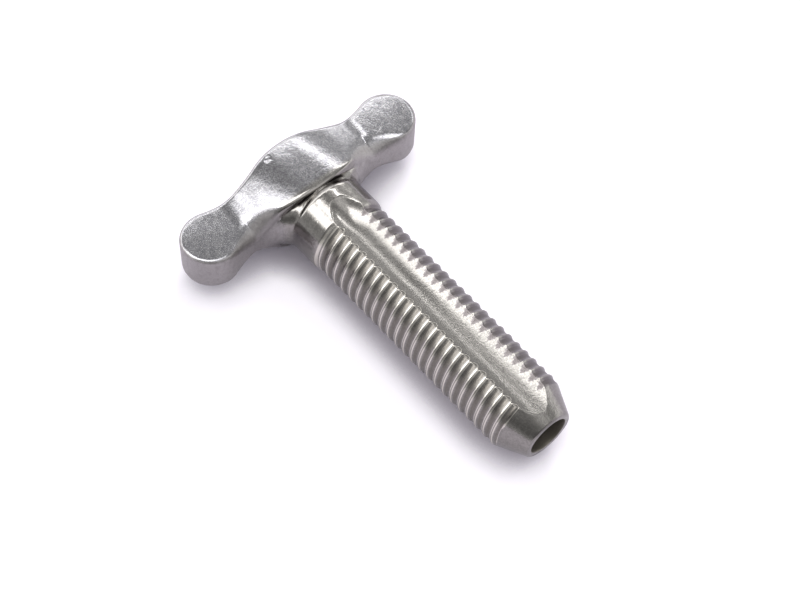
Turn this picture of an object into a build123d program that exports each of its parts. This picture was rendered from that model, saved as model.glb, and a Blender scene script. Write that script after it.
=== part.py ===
from build123d import *
import math
import os

os.makedirs("parts", exist_ok=True)

# Cable adjuster screw, one casting in millimetres: a winged head, a plain neck, a hollow
# threaded shank, one long flute cut in the shank, and a short cone at the tip.
# It is drawn about its own axis: X runs from the head to the tip, Y along the wings, and
# x = 0 is the middle of the wings. The last step sets it down on its side, on z = 0.

# Shank. The thread is drawn as a plain rod of its outer diameter.
tip_x = 33.8
thread_start_x = 6.9
thread_d = 7.9
neck_d = 8.26
neck_step_angle = 30.0
tip_d = 5.1
cone_angle = 25.0

# The shallow groove round the neck, where it leaves the front of the boss.
relief_d = 7.1
relief_width = 0.9
relief_slope = 34.0

# The hole: a through bore for the wire, and a socket in the head for the casing's end.
bore_d = 3.95
socket_d = 5.6
socket_depth = 9.0
socket_chamfer = 0.3

# Flute: the hollow that a ball-nosed cutter of this radius leaves along the top.
flute_r = 3.1
flute_floor = 3.0
flute_start_x = 5.05

# Head, seen from above: two round lobes, a boss on the axis, and a waist between them.
lobe_y = 10.5
lobe_r = 2.87
boss_back = 3.35
boss_front = 3.05
waist_back = 2.24
waist_front = 2.4
waist_back_r = 9.5
waist_front_r = 14.0

# Head, seen from the tip: flat lobes, and a crowned hump over the boss.
lobe_thickness = 4.24
boss_thickness = 7.7
shoulder_y = 3.4
valley_y = 7.15
shoulder_r = 11.0
valley_r = 4.0
rim_r = 0.35

# The sloping bevel on the tip side of each arm, widest halfway along it. Its cutter is drawn
# at stations counted in half lengths from the middle, and runs past both ends of the bevel.
bevel_middle_y = 6.9
bevel_half_length = 3.1
bevel_width = 1.45
bevel_slope = 36.0
bevel_stations = (-1.3, -0.65, 0, 0.65, 1.3)

# The flare that carries the arms' front face into the neck, drawn at turns of its arc.
flare_r = 2.8
flare_thickness = 6.8
flare_turns = (0, 22.5, 45, 67.5, 90)

# How far a cutting solid runs clear of what it cuts, and how deep one solid seats in another.
overrun = 2.0
seat = 0.15


def rise(slope):
    return math.tan(math.radians(slope))


def side_arcs(boss_x, waist_x, waist_r, side):
    """One long side of the head as smooth arcs: waist, boss and waist."""
    reach = waist_x + waist_r
    waist_y = lobe_y - math.sqrt((waist_r + lobe_r) ** 2 - reach**2)
    offset = reach - boss_x
    boss_r = (offset**2 + waist_y**2 - waist_r**2) / (2 * (waist_r - offset))
    lobe_mid = Vector(0, lobe_y)
    waist_mid = Vector(side * reach, waist_y)
    boss_mid = Vector(side * (boss_x - boss_r), 0)
    at_lobe = lobe_mid + (waist_mid - lobe_mid).normalized() * lobe_r
    at_boss = boss_mid + (waist_mid - boss_mid).normalized() * boss_r
    low = waist_mid + ((at_lobe + at_boss) * 0.5 - waist_mid).normalized() * waist_r
    waist = ThreePointArc(at_lobe, low, at_boss)
    boss = ThreePointArc(at_boss, (side * boss_x, 0), (at_boss.X, -at_boss.Y))
    return at_lobe, [waist, boss, mirror(waist, Plane.XZ)]


def head_plan():
    """The head's outline from above."""
    back_end, back = side_arcs(boss_back, waist_back, waist_back_r, -1)
    front_end, front = side_arcs(boss_front, waist_front, waist_front_r, 1)
    lobe = ThreePointArc(back_end, (0, lobe_y + lobe_r), front_end)
    return make_face(Curve() + [*back, *front, lobe, mirror(lobe, Plane.XZ)])


def head_elevation():
    """The head's outline from the tip: a hump between two flat lobes, the same below."""
    end_y = lobe_y + lobe_r + overrun
    low = lobe_thickness / 2
    high = boss_thickness / 2
    half = [(-end_y, low), (-valley_y, low), (-shoulder_y, high)]
    points = half + [(-y, z) for y, z in reversed(half)]
    top = Plane.YZ * FilletPolyline(*points, radius=[valley_r, shoulder_r, shoulder_r, valley_r])
    bottom = mirror(top, Plane.XY)
    ends = [Line(top @ i, bottom @ i) for i in (0, 1)]
    return make_face(Curve() + [top, bottom, *ends])


def bevel_cutter():
    """The wedge cut from the top edge of one arm. Its width follows a parabola along the arm."""
    slope = rise(bevel_slope)
    climb = (boss_thickness - lobe_thickness) / 2 / (valley_y - shoulder_y)
    sections = []
    for station in bevel_stations:
        y = bevel_middle_y + station * bevel_half_length
        inner_x = waist_front - bevel_width * (1 - station**2)
        inner_z = lobe_thickness / 2 + max(valley_y - y, 0) * climb
        outer_x = boss_front + overrun
        high = (inner_x - overrun, y, inner_z + overrun * slope)
        low = (outer_x, y, inner_z - (outer_x - inner_x) * slope)
        sections.append(make_face(Polyline(high, low, (outer_x, y, high[2]), close=True)))
    return loft(sections)


def head():
    plan = extrude(head_plan(), boss_thickness, both=True)
    elevation = extrude(head_elevation(), boss_back + boss_front, both=True)
    body = plan & elevation
    for near in (bevel_cutter(), mirror(bevel_cutter(), Plane.XZ)):
        body = body - near - mirror(near, Plane.XY)
    rims = body.edges().filter_by(GeomType.LINE, reverse=True)
    return fillet(rims, rim_r)


def flare():
    """A trumpet of ovals that narrows from the arms' front face to the round neck."""
    neck_r = neck_d / 2 - seat
    thinning = (neck_d - flare_thickness) / 2
    sections = []
    for turn in flare_turns:
        swell = 1 - math.cos(math.radians(turn))
        x = waist_front + flare_r * (1 - math.sin(math.radians(turn)))
        oval = Ellipse(neck_r + flare_r * swell, neck_r - thinning * swell)
        sections.append(Plane.YZ.offset(x) * oval)
    root = extrude(sections[-1], -waist_front)
    return loft(sections) + root


def shank():
    """Neck, thread blank and cone, turned about the axis."""
    neck_r = neck_d / 2
    thread_r = thread_d / 2
    relief_r = relief_d / 2
    step = (neck_r - thread_r) / rise(neck_step_angle)
    cone = (thread_d - tip_d) / 2 / rise(cone_angle)
    relief_end = boss_front + relief_width
    ends = ((boss_front, relief_r), (relief_end, neck_r))
    swelling = Spline(*ends, tangents=((1, rise(relief_slope)), (1, 0)))
    outline = Polyline(
        (relief_end, neck_r),
        (thread_start_x - step, neck_r),
        (thread_start_x, thread_r),
        (tip_x - cone, thread_r),
        (tip_x, tip_d / 2),
        (tip_x, 0),
        (0, 0),
        (0, relief_r),
        (boss_front, relief_r),
    )
    profile = Plane.XZ * make_face(Curve() + [swelling, outline])
    return revolve(profile, Axis.X)


def flute_cutter():
    """A ball-nosed cutter's path: a round bar with a ball at its head end."""
    axis_z = flute_floor + flute_r
    ball_x = flute_start_x + math.sqrt(flute_r**2 - (axis_z - neck_d / 2) ** 2)
    length = tip_x + overrun - ball_x
    bar = Pos(ball_x + length / 2, 0, axis_z) * Rotation(0, 90, 0) * Cylinder(flute_r, length)
    return bar + Pos(ball_x, 0, axis_z) * Sphere(flute_r)


def hole():
    """The bore, the wider socket in the head, and the chamfer at the socket's mouth."""
    bore_r = bore_d / 2
    socket_r = socket_d / 2
    mouth_x = -boss_back
    outline = Polyline(
        (tip_x + overrun, 0),
        (tip_x + overrun, bore_r),
        (mouth_x + socket_depth, bore_r),
        (mouth_x + socket_depth, socket_r),
        (mouth_x + socket_chamfer, socket_r),
        (mouth_x - overrun, socket_r + socket_chamfer + overrun),
        (mouth_x - overrun, 0),
        close=True,
    )
    return revolve(Plane.XZ * make_face(outline), Axis.X)


screw = head() + flare() + shank() - flute_cutter() - hole()
lying = Pos((boss_back - tip_x) / 2, 0, neck_d / 2) * screw
export_step(lying, "parts/adjuster_screw.step")
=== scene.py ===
import math

import bmesh
import bpy
import numpy as np
from mathutils import Matrix, Vector


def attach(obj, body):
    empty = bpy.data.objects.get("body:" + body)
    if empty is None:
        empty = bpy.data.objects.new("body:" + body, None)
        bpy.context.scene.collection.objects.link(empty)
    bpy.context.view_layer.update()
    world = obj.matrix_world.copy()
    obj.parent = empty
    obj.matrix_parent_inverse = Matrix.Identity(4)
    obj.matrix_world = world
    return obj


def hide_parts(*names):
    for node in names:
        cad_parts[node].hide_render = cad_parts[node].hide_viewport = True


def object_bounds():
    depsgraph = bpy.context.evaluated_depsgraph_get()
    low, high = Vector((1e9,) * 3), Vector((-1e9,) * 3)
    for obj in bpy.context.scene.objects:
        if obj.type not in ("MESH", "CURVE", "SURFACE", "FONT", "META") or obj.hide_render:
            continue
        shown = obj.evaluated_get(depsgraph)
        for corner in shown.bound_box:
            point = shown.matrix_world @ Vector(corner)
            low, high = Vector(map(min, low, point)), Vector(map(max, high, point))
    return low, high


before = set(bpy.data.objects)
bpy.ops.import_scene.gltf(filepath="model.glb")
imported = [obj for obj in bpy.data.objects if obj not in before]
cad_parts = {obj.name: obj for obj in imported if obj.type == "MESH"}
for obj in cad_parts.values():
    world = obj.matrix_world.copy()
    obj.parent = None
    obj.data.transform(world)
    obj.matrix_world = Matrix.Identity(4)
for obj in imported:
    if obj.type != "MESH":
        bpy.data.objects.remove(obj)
cad_low, cad_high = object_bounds()

# The winged head. It is a zinc casting: two flat round lobes, a crowned boss between them, and
# a sloping bevel on the tip side of each arm. Its edges are rounded by the mould.
# Sizes are in millimetres about the screw's own axis: X runs to the tip, Y along the wings.

mm = 0.001
boss_back = 3.35
boss_front = 3.05
place = Vector((cad_low.x + boss_back * mm, 0, (cad_low.z + cad_high.z) / 2))

lobe_y = 10.5
lobe_r = 2.87
rim_r = 0.42
lobe_half = 2.12
boss_half = 3.85
crowning = 0.012
shoulder_y = 3.4
valley_y = 7.15
arm_slope = 0.461
valley_blend = 0.43
shoulder_blend = 1.17

bevel_middle_y = 6.9
bevel_half_length = 3.1
bevel_reach = 1.6
bevel_width = 1.45
bevel_fall = 0.34
bevel_hollow = 0.27
bevel_blend = 0.22
waist_at_y = 6.8

dent_x = -2.42
dent_y = -1.85
dent_depth = 0.07
dent_floor = 0.12
dent_rim = 0.32


def soft_min(a, b, width):
    """The lower of a and b, with the corner between them rounded over that width."""
    near = np.clip(1 - np.abs(a - b) / width, 0, 1)
    return np.minimum(a, b) - near**2 * width / 4


def side_arcs(boss_x, waist_x, waist_r):
    """One long side of the head: its boss and waist arcs, and the y where each of them ends."""
    reach = waist_x + waist_r
    waist_y = lobe_y - math.sqrt((waist_r + lobe_r) ** 2 - reach**2)
    offset = reach - boss_x
    boss_r = (offset**2 + waist_y**2 - waist_r**2) / (2 * (waist_r - offset))
    boss_end = waist_y * boss_r / (boss_r + waist_r)
    lobe_start = lobe_y - (lobe_y - waist_y) * lobe_r / (lobe_r + waist_r)
    return boss_x, boss_r, reach, waist_y, waist_r, boss_end, lobe_start


def side_x(y, side):
    """How far that long side of the head stands from the wings' middle, at y."""
    boss_x, boss_r, reach, waist_y, waist_r, boss_end, lobe_start = side
    y = np.abs(y)
    boss = boss_x - boss_r + np.sqrt(boss_r**2 - np.minimum(y, boss_end) ** 2)
    waist = reach - np.sqrt(waist_r**2 - (np.clip(y, boss_end, lobe_start) - waist_y) ** 2)
    lobe = np.sqrt(np.maximum(lobe_r**2 - (np.maximum(y, lobe_start) - lobe_y) ** 2, 0))
    return np.where(y < boss_end, boss, np.where(y < lobe_start, waist, lobe))


def inside_by(x, y, side):
    """How far a point on the head's plan lies inside that long side."""
    boss_x, boss_r, reach, waist_y, waist_r, boss_end, lobe_start = side
    y = np.abs(y)
    boss = boss_r - np.hypot(x - boss_x + boss_r, y)
    waist = np.hypot(x - reach, y - waist_y) - waist_r
    lobe = lobe_r - np.hypot(x, y - lobe_y)
    return np.where(y < boss_end, boss, np.where(y < lobe_start, waist, lobe))


back = side_arcs(boss_back, 2.24, 9.5)
front = side_arcs(boss_front, 2.4, 14.0)
bevel_top_x = float(side_x(waist_at_y, front))


def head_height(x, y):
    """Half the head's thickness at a point of its plan: crown, arms, bevel, dent and rim."""
    far = np.abs(y)
    slope = boss_half - (far - shoulder_y) * arm_slope
    arm = -soft_min(-np.full_like(far, lobe_half), -slope, valley_blend)
    crown = soft_min(np.full_like(far, boss_half), arm, shoulder_blend)

    station = np.clip((far - bevel_middle_y) / bevel_half_length, -bevel_reach, bevel_reach)
    run = x - bevel_top_x + bevel_width * (1 - station**2)
    bevel_top = lobe_half + np.maximum(valley_y - far, 0) * arm_slope
    bevel = bevel_top - bevel_fall * run - bevel_hollow * np.maximum(run, 0) ** 2
    height = soft_min(crown, bevel, bevel_blend) - crowning * x**2

    from_dent = np.maximum(np.abs(x - dent_x), 0.8 * np.abs(y - dent_y))
    height = height - np.interp(from_dent, (dent_floor, dent_rim), (dent_depth, 0))

    inside = np.clip(np.minimum(inside_by(x, y, front), inside_by(-x, y, back)), 0, rim_r)
    return height - rim_r + np.sqrt(rim_r**2 - (rim_r - inside) ** 2)


def tube_faces(rings, sides):
    """The faces between closed rings of points, each ring with that many sides."""
    faces = []
    for i in range(rings - 1):
        for j in range(sides):
            k = (j + 1) % sides
            faces.append((i * sides + j, i * sides + k, (i + 1) * sides + k, (i + 1) * sides + j))
    return faces


def close_up(mesh):
    """Merges doubles, fills open ends and turns every face outwards."""
    made = bmesh.new()
    made.from_mesh(mesh)
    bmesh.ops.remove_doubles(made, verts=made.verts, dist=2e-6)
    bmesh.ops.dissolve_degenerate(made, edges=made.edges, dist=1e-6)
    bmesh.ops.holes_fill(made, edges=[e for e in made.edges if e.is_boundary], sides=0)
    bmesh.ops.recalc_face_normals(made, faces=made.faces)
    made.to_mesh(mesh)
    made.free()


# One loop of points is laid round the head at each station along the wings. The stations crowd
# together at the lobes' ends, and the points across the head at its two rims.
stations = 260
across = 42
wall = 7
end_crowding = 0.35
rim_crowding = 0.45
turn = np.linspace(-math.pi / 2, math.pi / 2, stations)
even = turn / (math.pi / 2)
half_span = lobe_y + lobe_r
station_y = half_span * (end_crowding * np.sin(turn) + (1 - end_crowding) * even)
even = np.linspace(-1, 1, across)
ease = (even * (1 - rim_crowding) + np.sin(even * math.pi / 2) * rim_crowding + 1) / 2
down = np.linspace(1, -1, wall + 2)[1:-1]
head_points = []
for y in station_y:
    low_x = -float(side_x(y, back))
    high_x = float(side_x(y, front))
    xs = high_x + (low_x - high_x) * ease
    zs = head_height(xs, np.full(across, y))
    head_points += [(x, y, z) for x, z in zip(xs, zs)]
    head_points += [(low_x, y, zs[-1] * d) for d in down]
    head_points += [(x, y, -z) for x, z in zip(xs[::-1], zs[::-1])]
    head_points += [(high_x, y, -zs[0] * d) for d in down]
head_mesh = bpy.data.meshes.new("head")
head_faces = tube_faces(stations, len(head_points) // stations)
head_mesh.from_pydata([Vector(p) * mm + place for p in head_points], [], head_faces)
close_up(head_mesh)
head = bpy.data.objects.new("head", head_mesh)
bpy.context.scene.collection.objects.link(head)

# The shank: a plain neck, a cast thread of 24 turns to the inch, one long flute along the top,
# and a short cone. The mould's halves did not quite meet, so the thread is lower on the left.
# One grid is wrapped round the axis with its rows on the thread's helix.

tree = bpy.data.node_groups.new("threaded shank", "GeometryNodeTree")
tree.is_modifier = True
sizes = {
    "Start": 1.08,
    "Tip": 33.8,
    "Pitch": 1.0583,
    "Groove crosses the top at": 7.65,
    "Turns before it": 6.55,
    "Turns": 32.0,
    "Rows per turn": 10,
    "Columns": 160,
    "Neck radius": 4.13,
    "Crest radius": 3.97,
    "Thread depth on the left": 0.32,
    "Thread depth on the right": 0.6,
    "Thread start": 7.25,
    "Thread fades from": 30.9,
    "Thread end": 31.6,
    "Groove at the boss, depth": 0.62,
    "Groove at the boss, bottom at": 2.9,
    "Groove at the boss, end": 4.05,
    "Tip radius": 2.55,
    "Tip rounding": 0.12,
    "Cone slope": 0.466,
    "Flute radius": 3.1,
    "Flute floor": 3.0,
    "Flute start": 5.05,
    "Flute nose drawn out by": 1.6,
    "Flare radius": 2.8,
    "Flare end": 5.2,
    "Flare seat": 0.32,
    "Flare swells upwards by": -0.9,
}
for name, value in sizes.items():
    kind = "NodeSocketInt" if isinstance(value, int) else "NodeSocketFloat"
    tree.interface.new_socket(name=name, in_out="INPUT", socket_type=kind).default_value = value
tree.interface.new_socket(name="Finish", in_out="INPUT", socket_type="NodeSocketMaterial")
tree.interface.new_socket(name="Geometry", in_out="OUTPUT", socket_type="NodeSocketGeometry")


def add(tree, kind, inputs=(), **settings):
    """Adds a node with its settings, and links or fills its inputs by place or by name."""
    node = tree.nodes.new(kind)
    for name, value in settings.items():
        setattr(node, name, value)
    pairs = inputs.items() if isinstance(inputs, dict) else enumerate(inputs)
    for key, value in pairs:
        if isinstance(value, bpy.types.Node):
            value = next(s for s in value.outputs if s.enabled)
        if isinstance(value, bpy.types.NodeSocket):
            tree.links.new(value, node.inputs[key])
        elif value is not None:
            node.inputs[key].default_value = value
    return node


given = add(tree, "NodeGroupInput").outputs
pitch = given["Pitch"]
neck_r = given["Neck radius"]
rows = add(tree, "ShaderNodeMath", (given["Turns"], given["Rows per turn"]), operation="MULTIPLY")
rows_and_one = add(tree, "ShaderNodeMath", (rows, 1.0), operation="ADD")
grid_size = {
    "Size X": 1.0,
    "Size Y": 1.0,
    "Vertices X": rows_and_one,
    "Vertices Y": given["Columns"],
}
grid = add(tree, "GeometryNodeMeshGrid", grid_size)
where = add(tree, "ShaderNodeSeparateXYZ", (add(tree, "GeometryNodeInputPosition"),)).outputs

# Round the shank the columns stand closest at the flute's two edges, 22 to 34 degrees off the top.
column = add(tree, "ShaderNodeMath", (where["Y"], 0.5), operation="ADD")
spread = add(tree, "ShaderNodeFloatCurve", {"Value": column})
curve = spread.mapping.curves[0]
curve.points[0].location = (0, 0)
curve.points[1].location = (1, 1)
for column_share, degrees in ((0.27, -34), (0.43, -22), (0.57, 22), (0.73, 34)):
    curve.points.new(column_share, (degrees + 180) / 360)
for point in curve.points:
    point.handle_type = "VECTOR"
spread.mapping.update()
turn_share = add(tree, "ShaderNodeMath", (spread, 0.5), operation="SUBTRACT")
angle = add(tree, "ShaderNodeMath", (turn_share, 2 * math.pi), operation="MULTIPLY")
sine = add(tree, "ShaderNodeMath", (angle,), operation="SINE")
cosine = add(tree, "ShaderNodeMath", (angle,), operation="COSINE")

# Along the shank the rows crowd together at the thread's crests and roots, twice in a turn.
twice_a_turn = 4 * math.pi
row_crowding = 0.8
row = add(tree, "ShaderNodeMath", (where["X"], 0.5), operation="ADD")
row = add(tree, "ShaderNodeMath", (row, rows), operation="MULTIPLY")
turns_on = add(tree, "ShaderNodeMath", (row, given["Rows per turn"]), operation="DIVIDE")
turns_on = add(tree, "ShaderNodeMath", (turns_on, given["Turns before it"]), operation="SUBTRACT")
crowd = add(tree, "ShaderNodeMath", (turns_on, twice_a_turn), operation="MULTIPLY")
crowd = add(tree, "ShaderNodeMath", (crowd,), operation="SINE")
crowd = add(tree, "ShaderNodeMath", (crowd, row_crowding / twice_a_turn), operation="MULTIPLY")
turns_on = add(tree, "ShaderNodeMath", (turns_on, crowd), operation="SUBTRACT")
on_helix = add(tree, "ShaderNodeMath", (turns_on, turn_share), operation="SUBTRACT")
first_groove = given["Groove crosses the top at"]
helix_x = add(tree, "ShaderNodeMath", (on_helix, pitch), operation="MULTIPLY")
helix_x = add(tree, "ShaderNodeMath", (helix_x, first_groove), operation="ADD")
x = add(tree, "ShaderNodeMath", (helix_x, given["Start"]), operation="MAXIMUM")
x = add(tree, "ShaderNodeMath", (x, given["Tip"]), operation="MINIMUM")

# The thread: V grooves, which fade in from the neck and out before the cone. A flank runs from
# 0.04 to 0.44 of a turn beside the groove's middle, and the depth changes where the mould parts.
turn_at = add(tree, "ShaderNodeMath", (x, first_groove), operation="SUBTRACT")
turn_at = add(tree, "ShaderNodeMath", (turn_at, pitch), operation="DIVIDE")
to_groove = add(tree, "ShaderNodeMath", (turn_at, turn_share), operation="ADD")
to_groove = add(tree, "ShaderNodeMath", (to_groove, 0.5), operation="PINGPONG")
groove_share = add(tree, "ShaderNodeMapRange", (to_groove, 0.04, 0.44, 1.0, 0.0))
past_start = add(tree, "ShaderNodeMath", (x, given["Thread start"]), operation="SUBTRACT")
fade_in = add(tree, "ShaderNodeMapRange", (past_start, -0.35, 0.45, 0.0, 1.0))
fading = (x, given["Thread fades from"], given["Thread end"], 1.0, 0.0)
fade_out = add(tree, "ShaderNodeMapRange", fading)
groove_share = add(tree, "ShaderNodeMath", (groove_share, fade_in), operation="MULTIPLY")
groove_share = add(tree, "ShaderNodeMath", (groove_share, fade_out), operation="MULTIPLY")
depths = (sine, -0.3, 0.3, given["Thread depth on the left"], given["Thread depth on the right"])
depth = add(tree, "ShaderNodeMapRange", depths, interpolation_type="SMOOTHSTEP")
groove = add(tree, "ShaderNodeMath", (groove_share, depth), operation="MULTIPLY")
land = add(tree, "ShaderNodeMapRange", (past_start, -0.5, 0.0, neck_r, given["Crest radius"]))
thread = add(tree, "ShaderNodeMath", (land, groove), operation="SUBTRACT")

# The neck sinks into a groove at the boss.
sinking = (
    x,
    given["Groove at the boss, bottom at"],
    given["Groove at the boss, end"],
    given["Groove at the boss, depth"],
    0.0,
)
sink = add(tree, "ShaderNodeMapRange", sinking, interpolation_type="SMOOTHSTEP")
neck = add(tree, "ShaderNodeMath", (thread, sink), operation="SUBTRACT")

# The flare: the neck spreads into the arms at its two sides, as ovals on a round run-in.
flare_r = given["Flare radius"]
flare_blend = 0.35
seat = given["Flare seat"]
reach = add(tree, "ShaderNodeMath", (given["Flare end"], x), operation="SUBTRACT")
reach = add(tree, "ShaderNodeMath", (reach, flare_r), operation="DIVIDE")
reach = add(tree, "ShaderNodeMath", (reach, 0.0), operation="MAXIMUM")
reach = add(tree, "ShaderNodeMath", (reach, 1.0), operation="MINIMUM")
arc = add(tree, "ShaderNodeMath", (reach, reach), operation="MULTIPLY")
arc = add(tree, "ShaderNodeMath", (1.0, arc), operation="SUBTRACT")
arc = add(tree, "ShaderNodeMath", (arc,), operation="SQRT")
swell = add(tree, "ShaderNodeMath", (1.0, arc), operation="SUBTRACT")
root = add(tree, "ShaderNodeMath", (neck_r, seat), operation="SUBTRACT")
full_swell = add(tree, "ShaderNodeMath", (flare_r, seat), operation="ADD")
wide = add(tree, "ShaderNodeMath", (swell, full_swell, root), operation="MULTIPLY_ADD")
upwards = given["Flare swells upwards by"]
high = add(tree, "ShaderNodeMath", (swell, upwards, root), operation="MULTIPLY_ADD")
sin_part = add(tree, "ShaderNodeMath", (sine, wide), operation="DIVIDE")
cos_part = add(tree, "ShaderNodeMath", (cosine, high), operation="DIVIDE")
squares = add(tree, "ShaderNodeMath", (cos_part, cos_part), operation="MULTIPLY")
squares = add(tree, "ShaderNodeMath", (sin_part, sin_part, squares), operation="MULTIPLY_ADD")
oval = add(tree, "ShaderNodeMath", (squares,), operation="INVERSE_SQRT")
neck = add(tree, "ShaderNodeMath", (neck, oval, flare_blend), operation="SMOOTH_MAX")

# The cone at the tip, rounded over at its end by the square of this share.
edge_blend = 0.06
to_tip = add(tree, "ShaderNodeMath", (given["Tip"], x), operation="SUBTRACT")
cone_shape = (to_tip, given["Cone slope"], given["Tip radius"])
cone = add(tree, "ShaderNodeMath", cone_shape, operation="MULTIPLY_ADD")
round_end = add(tree, "ShaderNodeMapRange", (to_tip, 0.0, given["Tip rounding"], 0.3, 0.0))
round_end = add(tree, "ShaderNodeMath", (round_end, round_end), operation="MULTIPLY")
cone = add(tree, "ShaderNodeMath", (cone, round_end), operation="SUBTRACT")
body = add(tree, "ShaderNodeMath", (neck, cone, edge_blend), operation="SMOOTH_MIN")

# The flute: a round hollow along the top, with a drawn-out nose. Its axis lies above the shank.
flute_r = given["Flute radius"]
drawn_out = given["Flute nose drawn out by"]
radius_2 = add(tree, "ShaderNodeMath", (flute_r, flute_r), operation="MULTIPLY")
flute_z = add(tree, "ShaderNodeMath", (flute_r, given["Flute floor"]), operation="ADD")
ball_drop = add(tree, "ShaderNodeMath", (flute_z, neck_r), operation="SUBTRACT")
ball_drop_2 = add(tree, "ShaderNodeMath", (ball_drop, ball_drop), operation="MULTIPLY")
ball_reach = add(tree, "ShaderNodeMath", (radius_2, ball_drop_2), operation="SUBTRACT")
ball_reach = add(tree, "ShaderNodeMath", (ball_reach,), operation="SQRT")
nose = (ball_reach, drawn_out, given["Flute start"])
nose_end = add(tree, "ShaderNodeMath", nose, operation="MULTIPLY_ADD")
before = add(tree, "ShaderNodeMath", (nose_end, x), operation="SUBTRACT")
before = add(tree, "ShaderNodeMath", (before, 0.0), operation="MAXIMUM")
before = add(tree, "ShaderNodeMath", (before, drawn_out), operation="DIVIDE")
before_2 = add(tree, "ShaderNodeMath", (before, before), operation="MULTIPLY")
cut_2 = add(tree, "ShaderNodeMath", (radius_2, before_2), operation="SUBTRACT")
aside = add(tree, "ShaderNodeMath", (flute_z, sine), operation="MULTIPLY")
aside_2 = add(tree, "ShaderNodeMath", (aside, aside), operation="MULTIPLY")
inner = add(tree, "ShaderNodeMath", (cut_2, aside_2), operation="SUBTRACT")
inner_root = add(tree, "ShaderNodeMath", (inner, 0.0), operation="MAXIMUM")
inner_root = add(tree, "ShaderNodeMath", (inner_root,), operation="SQRT")
hit = add(tree, "ShaderNodeMath", (flute_z, cosine), operation="MULTIPLY")
hit = add(tree, "ShaderNodeMath", (hit, inner_root), operation="SUBTRACT")
meets = add(tree, "ShaderNodeMath", (inner, 0.0), operation="GREATER_THAN")
on_upper_half = add(tree, "ShaderNodeMath", (cosine, 0.0), operation="GREATER_THAN")
in_reach = add(tree, "ShaderNodeMath", (meets, on_upper_half), operation="MULTIPLY")
clear_of_shank = 9.0
flute = add(tree, "ShaderNodeMath", (hit, clear_of_shank), operation="SUBTRACT")
flute = add(tree, "ShaderNodeMath", (flute, in_reach, clear_of_shank), operation="MULTIPLY_ADD")
radius = add(tree, "ShaderNodeMath", (body, flute, edge_blend), operation="SMOOTH_MIN")

# What stays of the thread keeps its groove's depth as an attribute, for the grime in the roots,
# the painted highlights on the crests and the painted shade on the flanks.
cut_away = add(tree, "ShaderNodeMath", (thread, radius), operation="SUBTRACT")
bare = add(tree, "ShaderNodeMapRange", (cut_away, 0.0, edge_blend, 1.0, 0.0))
shown = add(tree, "ShaderNodeMath", (groove_share, bare), operation="MULTIPLY")
noted = {"Geometry": grid, "Name": "groove", "Value": shown}
kept = add(tree, "GeometryNodeStoreNamedAttribute", noted, data_type="FLOAT", domain="POINT")
spot_y = add(tree, "ShaderNodeMath", (radius, sine), operation="MULTIPLY")
spot_z = add(tree, "ShaderNodeMath", (radius, cosine), operation="MULTIPLY")
spot = add(tree, "ShaderNodeCombineXYZ", (x, spot_y, spot_z))
in_metres = (spot, (mm, mm, mm), tuple(place))
spot = add(tree, "ShaderNodeVectorMath", in_metres, operation="MULTIPLY_ADD")
wrapped = add(tree, "GeometryNodeSetPosition", {"Geometry": kept, "Position": spot})
merged = add(tree, "GeometryNodeMergeByDistance", {"Geometry": wrapped, "Distance": 2e-6})
real = add(tree, "GeometryNodeRealizeInstances", {"Geometry": merged})
done = add(tree, "GeometryNodeSetMaterial", {"Geometry": real, "Material": given["Finish"]})
add(tree, "NodeGroupOutput", (done,))

nickel = bpy.data.materials.new("worn nickel plate")
shank = bpy.data.objects.new("shank", bpy.data.meshes.new("blank"))
bpy.context.scene.collection.objects.link(shank)
thread_maker = shank.modifiers.new("thread", "NODES")
thread_maker.node_group = tree
for item in tree.interface.items_tree:
    if item.in_out == "INPUT":
        thread_maker[item.identifier] = sizes.get(item.name, nickel)


def bake(obj, name):
    """The evaluated mesh of an object as a plain new mesh."""
    graph = bpy.context.evaluated_depsgraph_get()
    mesh = bpy.data.meshes.new_from_object(obj.evaluated_get(graph), depsgraph=graph)
    mesh.name = name
    return mesh


shank_mesh = bake(shank, "shank")
shank.modifiers.remove(thread_maker)
shank.data = shank_mesh
close_up(shank_mesh)

# The hole right through, drilled from both ends: a bore for the wire from the tip, and a wider
# socket in the head for the end of the cable's casing. Both mouths are rounded, and are drawn
# as (x, how far the wall stands out).

bore_r = 1.975
socket_r = 2.8
socket_floor = 9.0 - boss_back
floor_corner = 0.15
tip_mouth = ((35.0, 1.25), (33.86, 0.11), (33.78, 0.05), (33.68, 0.015), (33.5, 0.0))
head_mouth = ((-3.08, 0.02), (-3.2, 0.09), (-3.35, 0.3), (-5.0, 2.0))
hole_line = [(x, bore_r + out) for x, out in tip_mouth]
hole_line += [(x, bore_r) for x in np.linspace(32.4, socket_floor + 0.2, 14)]
hole_line += [(socket_floor, bore_r), (socket_floor, socket_r - floor_corner)]
hole_line += [(socket_floor - 0.1, socket_r)]
hole_line += [(x, socket_r) for x in np.linspace(4.4, -2.9, 8)]
hole_line += [(x, socket_r + out) for x, out in head_mouth]
sides = 96
hole_points = []
for x_at, r_at in hole_line:
    for i in range(sides):
        a = 2 * math.pi * i / sides
        hole_points.append(Vector((x_at, r_at * math.sin(a), r_at * math.cos(a))) * mm + place)
hole_mesh = bpy.data.meshes.new("hole")
hole_mesh.from_pydata(hole_points, [], tube_faces(len(hole_line), sides))
close_up(hole_mesh)
hole = bpy.data.objects.new("hole", hole_mesh)
bpy.context.scene.collection.objects.link(hole)

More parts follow.
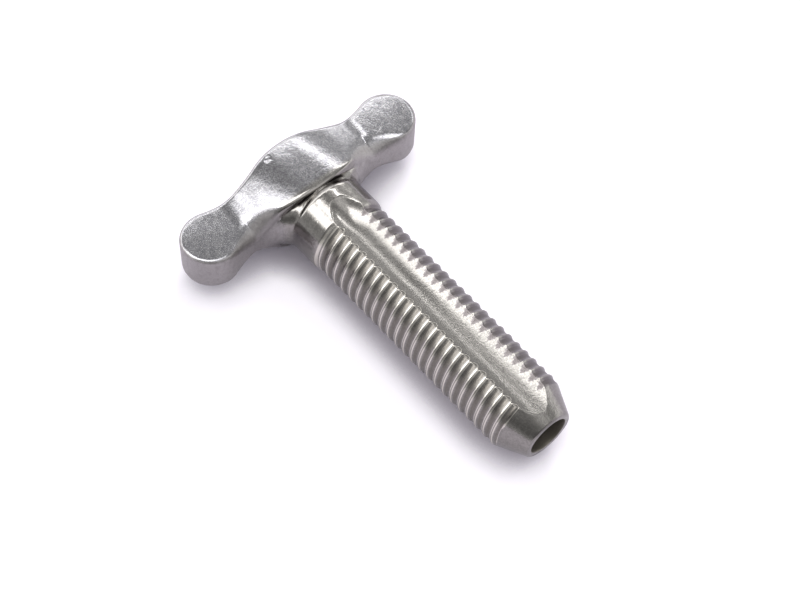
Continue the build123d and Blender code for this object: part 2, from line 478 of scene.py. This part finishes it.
for operation, other in (("UNION", shank), ("DIFFERENCE", hole)):
    cut = head.modifiers.new(operation.lower(), "BOOLEAN")
    cut.operation = operation
    cut.object = other
    cut.solver = "MANIFOLD"
screw_mesh = bake(head, "adjuster_screw")
head.modifiers.clear()
for spare in (shank, hole, head):
    bpy.data.objects.remove(spare)
for polygon in screw_mesh.polygons:
    polygon.use_smooth = True
screw_mesh.set_sharp_from_angle(angle=math.radians(50))
screw = bpy.data.objects.new("screw", screw_mesh)
bpy.context.scene.collection.objects.link(screw)

# Nickel plate over the zinc casting. It is bright on the neck and cone, satin on the head where
# fingers have worn it, matt as cast on the sides, pitted in the flute, and grimy in the thread.


def paint(code):
    """An sRGB hex colour as linear RGBA."""
    parts = [int(code[i : i + 2], 16) / 255 for i in (1, 3, 5)]
    linear = [c / 12.92 if c <= 0.04045 else ((c + 0.055) / 1.055) ** 2.4 for c in parts]
    return (*linear, 1.0)


nickel.use_nodes = True
tree = nickel.node_tree
tree.nodes.clear()
spot = add(tree, "ShaderNodeTexCoord").outputs["Object"]
about_axis = {"Vector": spot, "Scale": (1000, 1000, 1000), "Location": tuple(-place * 1000)}
to_mm = add(tree, "ShaderNodeMapping", about_axis)
at = add(tree, "ShaderNodeSeparateXYZ", (to_mm,)).outputs
normal = add(tree, "ShaderNodeNewGeometry").outputs["Normal"]
facing = add(tree, "ShaderNodeSeparateXYZ", (normal,)).outputs
off_axis = add(tree, "ShaderNodeMath", (at["Y"],), operation="ABSOLUTE")
from_axis = add(tree, "ShaderNodeVectorMath", (to_mm, (0, 1, 1)), operation="MULTIPLY")
from_axis = add(tree, "ShaderNodeVectorMath", (from_axis,), operation="LENGTH").outputs["Value"]
flatness = add(tree, "ShaderNodeMath", (facing["Z"],), operation="ABSOLUTE")
in_groove = add(tree, "ShaderNodeAttribute", attribute_name="groove").outputs["Fac"]

# Where each surface is: what is measured, where its share is nothing and where it is all. The
# camera looks from the tip's side, and left is where Y is below nothing.
measured = {
    "head": (at["X"], 2.6, 1.9),
    "arms": (off_axis, 4.2, 5.0),
    "steep": (flatness, 0.93, 0.72),
    "top": (at["Z"], 1.4, 2.1),
    "left": (at["Y"], 1.2, 0.2),
    "flute across": (off_axis, 2.1, 1.5),
    "flute along": (at["X"], 6.0, 9.0),
    "flute further on": (at["X"], 12.0, 24.0),
    "flute left": (at["Y"], 1.2, 0.3),
    "thread begun": (at["X"], 6.4, 7.2),
    "thread not over": (at["X"], 31.3, 30.8),
    "groove bottom": (in_groove, 0.25, 0.8),
    "groove flanks": (in_groove, 0.02, 0.2),
    "off the crest": (in_groove, 0.005, 0.05),
    "near the crest": (in_groove, 0.27, 0.17),
    "bore": (from_axis, 2.06, 2.0),
    "socket": (from_axis, 2.9, 2.82),
    "up to the boss": (at["X"], 3.3, 3.0),
    "before the arms": (at["X"], 1.6, 2.2),
    "low on the neck": (from_axis, 4.02, 3.9),
    "under the rim": (at["Z"], 3.6, 3.45),
}
on = {
    name: add(tree, "ShaderNodeMapRange", measure, interpolation_type="SMOOTHSTEP")
    for name, measure in measured.items()
}
more_right = (at["Y"], -0.9, 0.1, 0.35, 1.0)
more_right = add(tree, "ShaderNodeMapRange", more_right, interpolation_type="SMOOTHSTEP")
on["flute right half"] = more_right
on["by the head"] = add(tree, "ShaderNodeMapRange", (at["X"], 5.9, 5.7))
on["right"] = add(tree, "ShaderNodeMath", (1.0, on["left"]), operation="SUBTRACT")
on["wings"] = add(tree, "ShaderNodeMath", (on["head"], on["arms"]), operation="MAXIMUM")
combined = {
    "sides": ("steep", "wings"),
    "flute floor": ("flute across", "flute along"),
    "flute": ("flute floor", "top"),
    "far in flute": ("flute", "flute further on"),
    "far flute": ("far in flute", "flute right half"),
    # Painted shade: darker colour on the flute's left side.
    "painted flute shade": ("flute left", "flute"),
    "thread": ("thread begun", "thread not over"),
    "crest sides": ("off the crest", "near the crest"),
    # Painted highlight: bright lines along the crests' edges on the left.
    "painted crest highlights": ("crest sides", "left"),
    # Painted shade: darker flanks on the thread's right.
    "painted flank shade": ("groove flanks", "right"),
    "wide bore": ("socket", "by the head"),
    "boss front": ("up to the boss", "before the arms"),
    "sunk": ("low on the neck", "under the rim"),
    # Painted shade: dark colour in the crease under the boss, where the neck meets it.
    "painted crease shade": ("boss front", "sunk"),
}
for name, (one, other) in combined.items():
    on[name] = add(tree, "ShaderNodeMath", (on[one], on[other]), operation="MULTIPLY")
on["hole"] = add(tree, "ShaderNodeMath", (on["wide bore"], on["bore"]), operation="MAXIMUM")

# Patterns: soft swells of the casting 3 mm across, cast grain of 0.4 mm, and fine pits of
# 0.15 mm, drawn about twice as coarse as the real ones so that they show.
noises = (
    {"Vector": to_mm, "Scale": 0.35, "Detail": 4.0, "Roughness": 0.55},
    {"Vector": to_mm, "Scale": 2.6, "Detail": 5.0, "Roughness": 0.7},
    {"Vector": to_mm, "Scale": 6.5, "Detail": 3.0, "Roughness": 0.65},
)
cloud, grain, pits = (add(tree, "ShaderNodeTexNoise", n).outputs["Fac"] for n in noises)

# Darker specks on the head, where the plating is thin.
specks = add(tree, "ShaderNodeMapRange", (grain, 0.54, 0.68), interpolation_type="SMOOTHSTEP")
on["specks"] = add(tree, "ShaderNodeMath", (specks, on["wings"]), operation="MULTIPLY")

# Two crossed scratches on the right lobe: each as its middle and its direction.
scratch = 0.0
for middle, along in (((0.9, 8.9, 0), (0.83, 0.56, 0)), ((0.8, 9.0, 0), (-0.35, 0.94, 0))):
    across_it = (-along[1], along[0], 0)
    from_middle = add(tree, "ShaderNodeVectorMath", (to_mm, middle), operation="SUBTRACT")
    run = add(tree, "ShaderNodeVectorMath", (from_middle, along), operation="DOT_PRODUCT")
    run = add(tree, "ShaderNodeMath", (run.outputs["Value"],), operation="ABSOLUTE")
    off = add(tree, "ShaderNodeVectorMath", (from_middle, across_it), operation="DOT_PRODUCT")
    off = add(tree, "ShaderNodeMath", (off.outputs["Value"],), operation="ABSOLUTE")
    near = add(tree, "ShaderNodeMapRange", (off, 0.09, 0.03))
    ends = add(tree, "ShaderNodeMapRange", (run, 0.6, 0.35))
    line = add(tree, "ShaderNodeMath", (near, ends), operation="MULTIPLY")
    scratch = add(tree, "ShaderNodeMath", (line, scratch), operation="MAXIMUM")
on["scratch"] = add(tree, "ShaderNodeMath", (scratch, on["top"]), operation="MULTIPLY")

# Scuffs on the sides, a little longer up and down than along.
drawn_up = add(tree, "ShaderNodeMapping", {"Vector": to_mm, "Scale": (1.0, 1.0, 0.45)})
streaks = {"Vector": drawn_up, "Scale": 2.4, "Detail": 3.0, "Roughness": 0.6}
streaks = add(tree, "ShaderNodeTexNoise", streaks).outputs["Fac"]
scuffs = add(tree, "ShaderNodeMapRange", (streaks, 0.52, 0.64), interpolation_type="SMOOTHSTEP")
on["scuffs"] = add(tree, "ShaderNodeMath", (scuffs, on["sides"]), operation="MULTIPLY")

# Colour: patches of a cool grey on the wings and a warm one on the shank, and over them one layer
# after another, each with where it lies, how much of it and its colour. Painted highlights
# brighten the crests' edges on the left. Painted shade darkens the thread's flanks on the right,
# the flute's left side and the crease under the boss. Dirt sits in the thread's roots, where a
# finger can't reach. In a Mix node 0 is the share, 2 and 3 are its two numbers, and 6 and 7 its
# two colours.
patches = add(tree, "ShaderNodeMath", (grain, pits), operation="ADD")
patches = add(tree, "ShaderNodeMapRange", (patches, 0.82, 1.18), interpolation_type="SMOOTHSTEP")
cool = {0: patches, 6: paint("#89888C"), 7: paint("#9F9EA0")}
cool = add(tree, "ShaderNodeMix", cool, data_type="RGBA")
warm = {0: patches, 6: paint("#8C8986"), 7: paint("#9D9A96")}
warm = add(tree, "ShaderNodeMix", warm, data_type="RGBA")
tint = add(tree, "ShaderNodeMix", {0: on["wings"], 6: warm, 7: cool}, data_type="RGBA")
layers = (
    ("groove bottom", 0.6, "#6C665E"),
    # Painted shade on the flute's left side.
    ("painted flute shade", 0.6, "#716F6C"),
    # Painted shade on the thread's right flanks.
    ("painted flank shade", 0.6, "#5C565B"),
    # Painted highlights along the crests' edges on the left.
    ("painted crest highlights", 0.9, "#E2DDD4"),
    ("specks", 0.4, "#767476"),
    ("scratch", 0.5, "#D5D4D6"),
    ("scuffs", 0.4, "#625F63"),
    ("sides", 0.35, "#CFC8C4"),
    ("hole", 1.0, "#6A655C"),
    # Painted shade in the crease under the boss.
    ("painted crease shade", 1.0, "#2E2A28"),
)
for name, most, colour in layers:
    share = add(tree, "ShaderNodeMath", (on[name], most), operation="MULTIPLY")
    tint = add(tree, "ShaderNodeMix", {0: share, 6: tint, 7: paint(colour)}, data_type="RGBA")

# Roughness, laid over in the same way. The swells and the grain make it uneven, which breaks up
# the reflections as wear does. The dirt in the thread's roots and the painted shade in the crease
# under the boss are duller than the metal, and the hole is less of a metal.
matt = 0.15
for name, roughness in (
    ("wings", 0.18),
    ("sides", 0.42),
    ("thread", 0.2),
    ("flute", 0.27),
    ("far flute", 0.13),
    ("hole", 0.5),
):
    matt = add(tree, "ShaderNodeMix", {0: on[name], 2: matt, 3: roughness}, data_type="FLOAT")
for pattern, unevenness in ((cloud, 0.15), (grain, 0.12)):
    swing = add(tree, "ShaderNodeMath", (pattern, 0.5), operation="SUBTRACT")
    matt = add(tree, "ShaderNodeMath", (swing, unevenness, matt), operation="MULTIPLY_ADD")
matt = add(tree, "ShaderNodeMath", (on["groove bottom"], 0.15, matt), operation="MULTIPLY_ADD")
# The painted shade in the crease under the boss is rougher too.
matt = add(tree, "ShaderNodeMix", {0: on["painted crease shade"], 2: matt, 3: 0.45}, data_type="FLOAT")
plating = add(tree, "ShaderNodeMix", {0: on["hole"], 2: 1.0, 3: 0.6}, data_type="FLOAT")

# Bumps of the same patterns, in metres. The sides and the flute are roughest.
grain_share = 0.08
for name, share in (("wings", 0.1), ("sides", 0.9), ("far flute", 0.6)):
    grained = {0: on[name], 2: grain_share, 3: share}
    grain_share = add(tree, "ShaderNodeMix", grained, data_type="FLOAT")
pit_share = 0.08
for name, share in (("wings", 0.2), ("far flute", 1.0)):
    pitted = {0: on[name], 2: pit_share, 3: share}
    pit_share = add(tree, "ShaderNodeMix", pitted, data_type="FLOAT")
surface = None
for pattern, strength, deep in (
    (cloud, 0.5, 0.00008),
    (grain, grain_share, 0.00006),
    (pits, pit_share, 0.00003),
):
    bump = {"Strength": strength, "Distance": deep, "Height": pattern, "Normal": surface}
    surface = add(tree, "ShaderNodeBump", bump)
metal = {"Base Color": tint, "Metallic": plating, "Roughness": matt, "Normal": surface}
add(tree, "ShaderNodeOutputMaterial", (add(tree, "ShaderNodeBsdfPrincipled", metal),))
screw_mesh.materials.clear()
screw_mesh.materials.append(nickel)
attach(screw, "root")
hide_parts("adjuster_screw")

# The table top: a sheet of white paper. It shows as plain white, and keeps the soft shadow close
# round the screw. The metal mirrors it at less than its full brightness.

table_half = 0.8
shadow_reach = 0.0038
corners = [(x * table_half, y * table_half, 0) for x, y in ((-1, -1), (1, -1), (1, 1), (-1, 1))]
floor_mesh = bpy.data.meshes.new("table top")
floor_mesh.from_pydata(corners, [], [(0, 1, 2, 3)])
floor = bpy.data.objects.new("table_top", floor_mesh)
bpy.context.scene.collection.objects.link(floor)
paper = bpy.data.materials.new("white paper")
paper.use_nodes = True
tree = paper.node_tree
tree.nodes.clear()
rays = add(tree, "ShaderNodeLightPath").outputs
mirrored = add(tree, "ShaderNodeMath", (rays["Is Glossy Ray"], 0.3), operation="MULTIPLY")
seen = add(tree, "ShaderNodeMath", (rays["Is Camera Ray"], mirrored), operation="MAXIMUM")
seen = add(tree, "ShaderNodeMath", (seen, rays["Is Transmission Ray"]), operation="MAXIMUM")
around = add(tree, "ShaderNodeAmbientOcclusion", {"Distance": shadow_reach}, samples=8)
openness = (around.outputs["AO"], 0.4, 0.9)
openness = add(tree, "ShaderNodeMapRange", openness, interpolation_type="SMOOTHSTEP")
matt_white = add(tree, "ShaderNodeBsdfDiffuse", {"Color": paint("#DCD6E2")})
glow = add(tree, "ShaderNodeMath", (openness, 0.55), operation="MULTIPLY")
glow = add(tree, "ShaderNodeMath", (seen, glow), operation="MULTIPLY")
white = add(tree, "ShaderNodeEmission", {"Color": (1.0, 1.0, 1.0, 1), "Strength": glow})
both = add(tree, "ShaderNodeAddShader", (matt_white, white))
add(tree, "ShaderNodeOutputMaterial", (both,))
floor_mesh.materials.append(paper)

# The room that only the metal mirrors: pale walls low down, a grey ceiling, and panes of light or
# shade with their direction, half width, half height, soft edge and brightness. A brightness
# below nothing darkens. To the camera the room is plain white.

world = bpy.data.worlds.new("room")
bpy.context.scene.world = world
world.use_nodes = True
tree = world.node_tree
tree.nodes.clear()
way = add(tree, "ShaderNodeTexCoord").outputs["Generated"]
rays = add(tree, "ShaderNodeLightPath").outputs
height = add(tree, "ShaderNodeSeparateXYZ", (way,)).outputs["Z"]
walls = (height, 0.05, 0.3, 0.6, 0.5)
room = add(tree, "ShaderNodeMapRange", walls, interpolation_type="SMOOTHSTEP")
panes = (
    # Shade low down on the left and past the tip, which darkens the walls that face the camera.
    ((0.55, -0.75, 0.35), 0.6, 0.3, 0.2, -0.27),
    ((0.95, -0.1, 0.2), 0.6, 0.3, 0.2, -0.28),
    # The window overhead, and a faint one towards the tip.
    ((-0.12, -0.14, 0.98), 0.27, 0.4, 0.06, 4.2),
    ((0.6, 0.2, 0.78), 0.3, 0.5, 0.2, 0.7),
    # Windows behind the head on the left, and on the right low down.
    ((-0.42, -0.57, 0.71), 0.24, 0.18, 0.05, 4.2),
    ((-0.62, 0.75, 0.24), 0.18, 0.13, 0.06, 2.8),
    # A pale wall on the right, and a low window further on.
    ((-0.4, 0.75, 0.52), 0.7, 0.55, 0.2, 0.4),
    ((0.42, 0.88, 0.17), 0.5, 0.15, 0.07, 1.2),
    # The wide window behind the head, and a narrow bright strip high on the right.
    ((-0.9, -0.12, 0.36), 0.8, 0.25, 0.08, 2.4),
    ((-0.44, 0.53, 0.725), 0.8, 0.035, 0.012, 7.0),
)
for towards, half_wide, half_high, soft, bright in panes:
    middle = Vector(towards).normalized()
    aside = middle.cross(Vector((0, 0, 1))).normalized()
    ahead = add(tree, "ShaderNodeVectorMath", (way, tuple(middle)), operation="DOT_PRODUCT")
    ahead = add(tree, "ShaderNodeMath", (ahead.outputs["Value"], 0.001), operation="MAXIMUM")
    shares = []
    for axis, half in ((aside, half_wide), (aside.cross(middle), half_high)):
        off = add(tree, "ShaderNodeVectorMath", (way, tuple(axis)), operation="DOT_PRODUCT")
        off = add(tree, "ShaderNodeMath", (off.outputs["Value"], ahead), operation="DIVIDE")
        off = add(tree, "ShaderNodeMath", (off,), operation="ABSOLUTE")
        edge = (off, half + soft, half - soft)
        shares.append(add(tree, "ShaderNodeMapRange", edge, interpolation_type="SMOOTHSTEP"))
    pane = add(tree, "ShaderNodeMath", shares, operation="MULTIPLY")
    room = add(tree, "ShaderNodeMath", (pane, bright, room), operation="MULTIPLY_ADD")
darkest = 0.15
room = add(tree, "ShaderNodeMath", (room, darkest), operation="MAXIMUM")
reflected = add(tree, "ShaderNodeBackground", {"Strength": room, "Color": (1, 1, 1, 1)})
plain = add(tree, "ShaderNodeBackground", {"Color": (1, 1, 1, 1), "Strength": 0.85})
white_sky = add(tree, "ShaderNodeBackground", {"Color": (1, 1, 1, 1), "Strength": 1.0})
sky = add(tree, "ShaderNodeMixShader", (rays["Is Glossy Ray"], plain, reflected))
sky = add(tree, "ShaderNodeMixShader", (rays["Is Camera Ray"], sky, white_sky))
add(tree, "ShaderNodeOutputWorld", (sky,))

# One soft lamp, high behind the head, gives the paper its shadow. The metal doesn't mirror it.
lamp_away = 0.35
lamp_data = bpy.data.lights.new("window light", "AREA")
lamp_data.size = 0.12
lamp_data.energy = 0.35
lamp = bpy.data.objects.new("window light", lamp_data)
lamp_way = Vector((-0.4, 0.6, 0.7)).normalized()
lamp.location = lamp_way * lamp_away
lamp.rotation_mode = "QUATERNION"
lamp.rotation_quaternion = lamp_way.to_track_quat("Z", "Y")
lamp.visible_glossy = False
bpy.context.scene.collection.objects.link(lamp)

# The camera, fitted to the photograph: its three directions, the screw's place before it in
# millimetres, and its focal length in pixels of a picture 800 pixels wide.

right = Vector((0.6578, 0.7524, 0.0351))
down = Vector((0.6605, -0.5538, -0.507))
forward = Vector((-0.362, 0.3567, -0.8612))
offset = Vector((-9.34440731, -10.49951593, 171.17783446))
focal_pixels = 1827.6
photo_width = 800
eye = -(right * offset.x + down * offset.y + forward * offset.z)
camera_data = bpy.data.cameras.new("camera")
camera_data.sensor_width = 36.0
camera_data.lens = focal_pixels * camera_data.sensor_width / photo_width
camera_data.clip_start = 0.01
camera = bpy.data.objects.new("camera", camera_data)
bpy.context.scene.collection.objects.link(camera)
turned = Matrix((right, -down, -forward)).transposed().to_4x4()
camera.matrix_world = Matrix.Translation(eye * mm + place) @ turned
bpy.context.scene.camera = camera
bpy.context.scene.view_settings.view_transform = "Standard"
